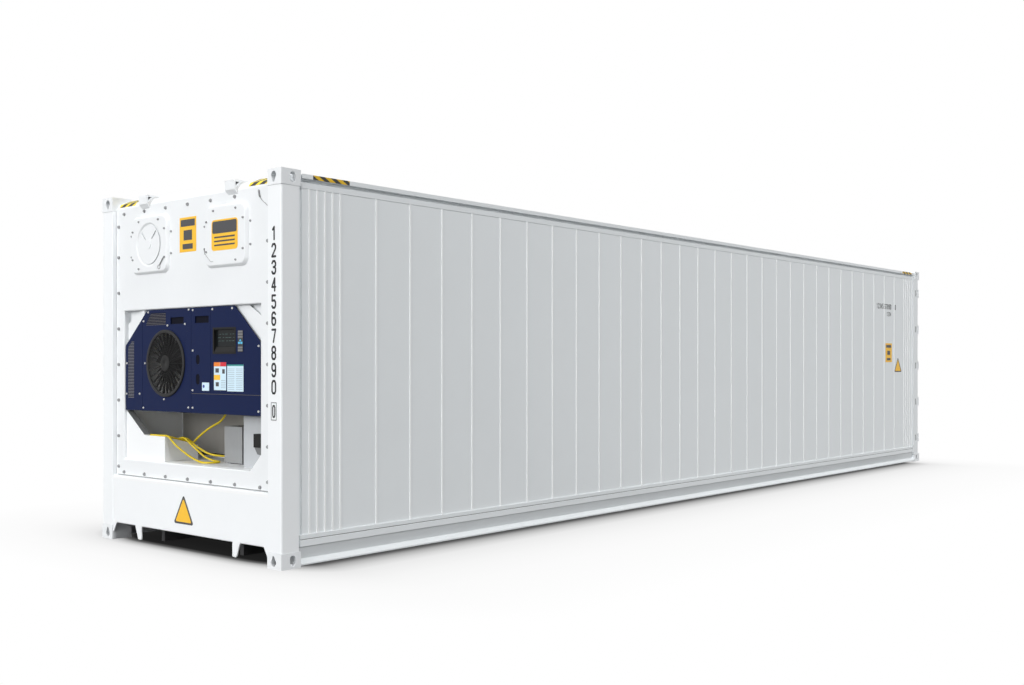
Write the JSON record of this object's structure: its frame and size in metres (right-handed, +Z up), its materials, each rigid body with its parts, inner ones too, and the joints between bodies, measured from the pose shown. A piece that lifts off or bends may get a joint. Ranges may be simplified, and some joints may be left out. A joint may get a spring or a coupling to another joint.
{
  "type": "refrigerated shipping container",
  "caption": "Long insulated steel freight box with a cooling unit in one end wall, a stowed supply cable, hollow corner castings and swinging rear doors.",
  "frame": {"origin": "on the ground plane under the middle of the box", "axes": "+X along the box towards the rear doors, the cooling unit at -X; +Y across the box; +Z up"},
  "size_m": [12.192, 2.438, 2.896],
  "materials": {
    "white_paint": "smooth white paint",
    "grey_paint": "pale grey paint",
    "dark_paint": "dark underside coating",
    "blue_paint": "dark blue paint",
    "black_plastic": "matt black",
    "grey_plastic": "matt grey",
    "bare_steel": "plain metal",
    "deck_aluminium": "extruded bars",
    "yellow_jacket": "yellow cable jacket",
    "black_rubber": "door seal"
  },
  "bodies": {
    "container": {"corner_castings": "grey_paint", "front_corner_posts": "white_paint", "rear_corner_posts": "grey_paint", "bottom_side_rails": "grey_paint", "top_side_rails": "grey_paint", "front_header": "white_paint", "front_sill": "white_paint", "rear_header": "grey_paint", "rear_sill": "grey_paint", "side_walls": "grey_paint", "roof_panel": "grey_paint", "floor_panel": "dark_paint", "floor_bars_deck": "deck_aluminium", "cross_members": "dark_paint", "tunnel_frame": "dark_paint", "unit_bulkhead": "white_paint", "bay_lining": "white_paint", "unit_front": "white_paint", "vent_cover": "white_paint", "access_cover": "white_paint", "casing_frame": "white_paint", "grille_panel": "blue_paint", "fan_panel": "blue_paint", "middle_panel": "blue_paint", "control_panel": "blue_paint", "lower_panel": "blue_paint", "control_box": "grey_paint", "display_tray": "black_plastic", "keypad": "grey_plastic", "fan_shroud": "black_plastic", "fan_guard": "grey_plastic", "fan_motor": "bare_steel", "compressor_cover": "white_paint", "transformer": "bare_steel", "base_rail": "dark_paint", "receiver_housing": "grey_paint", "socket_box": "black_plastic", "cable_gland": "black_plastic", "supply_cable": "yellow_jacket", "cable_coil": "yellow_jacket", "supply_plug": "black_plastic", "generator_brackets": "white_paint", "hinge_lugs": "grey_paint", "cam_keepers": "grey_paint"},
    "left_leaf": {"left_door": "grey_paint", "left_gasket": "black_rubber", "left_hinges": "grey_paint", "left_lock_gear": "bare_steel"},
    "right_leaf": {"right_door": "grey_paint", "right_gasket": "black_rubber", "right_hinges": "grey_paint", "right_lock_gear": "bare_steel"},
    "fan_rotor": {"fan_wheel": "black_plastic"},
    "vent_flap": {"vent_disc": "white_paint"}
  },
  "joints": [
    {"name": "left_door_swing", "type": "hinge", "parent": "container", "child": "left_leaf", "pos_m": [6.08, 1.203, 1.465], "axis": [0, 0, 1], "range_deg": [0, 270]},
    {"name": "right_door_swing", "type": "hinge", "parent": "container", "child": "right_leaf", "pos_m": [6.08, -1.203, 1.465], "axis": [0, 0, -1], "range_deg": [0, 270]},
    {"name": "fan_spin", "type": "hinge", "parent": "container", "child": "fan_rotor", "pos_m": [-5.97, 0.322, 1.489], "axis": [1, 0, 0], "continuous": true},
    {"name": "vent_turn", "type": "hinge", "parent": "container", "child": "vent_flap", "pos_m": [-6.083, 0.521, 2.46], "axis": [1, 0, 0], "range_deg": [0, 60]}
  ]
}
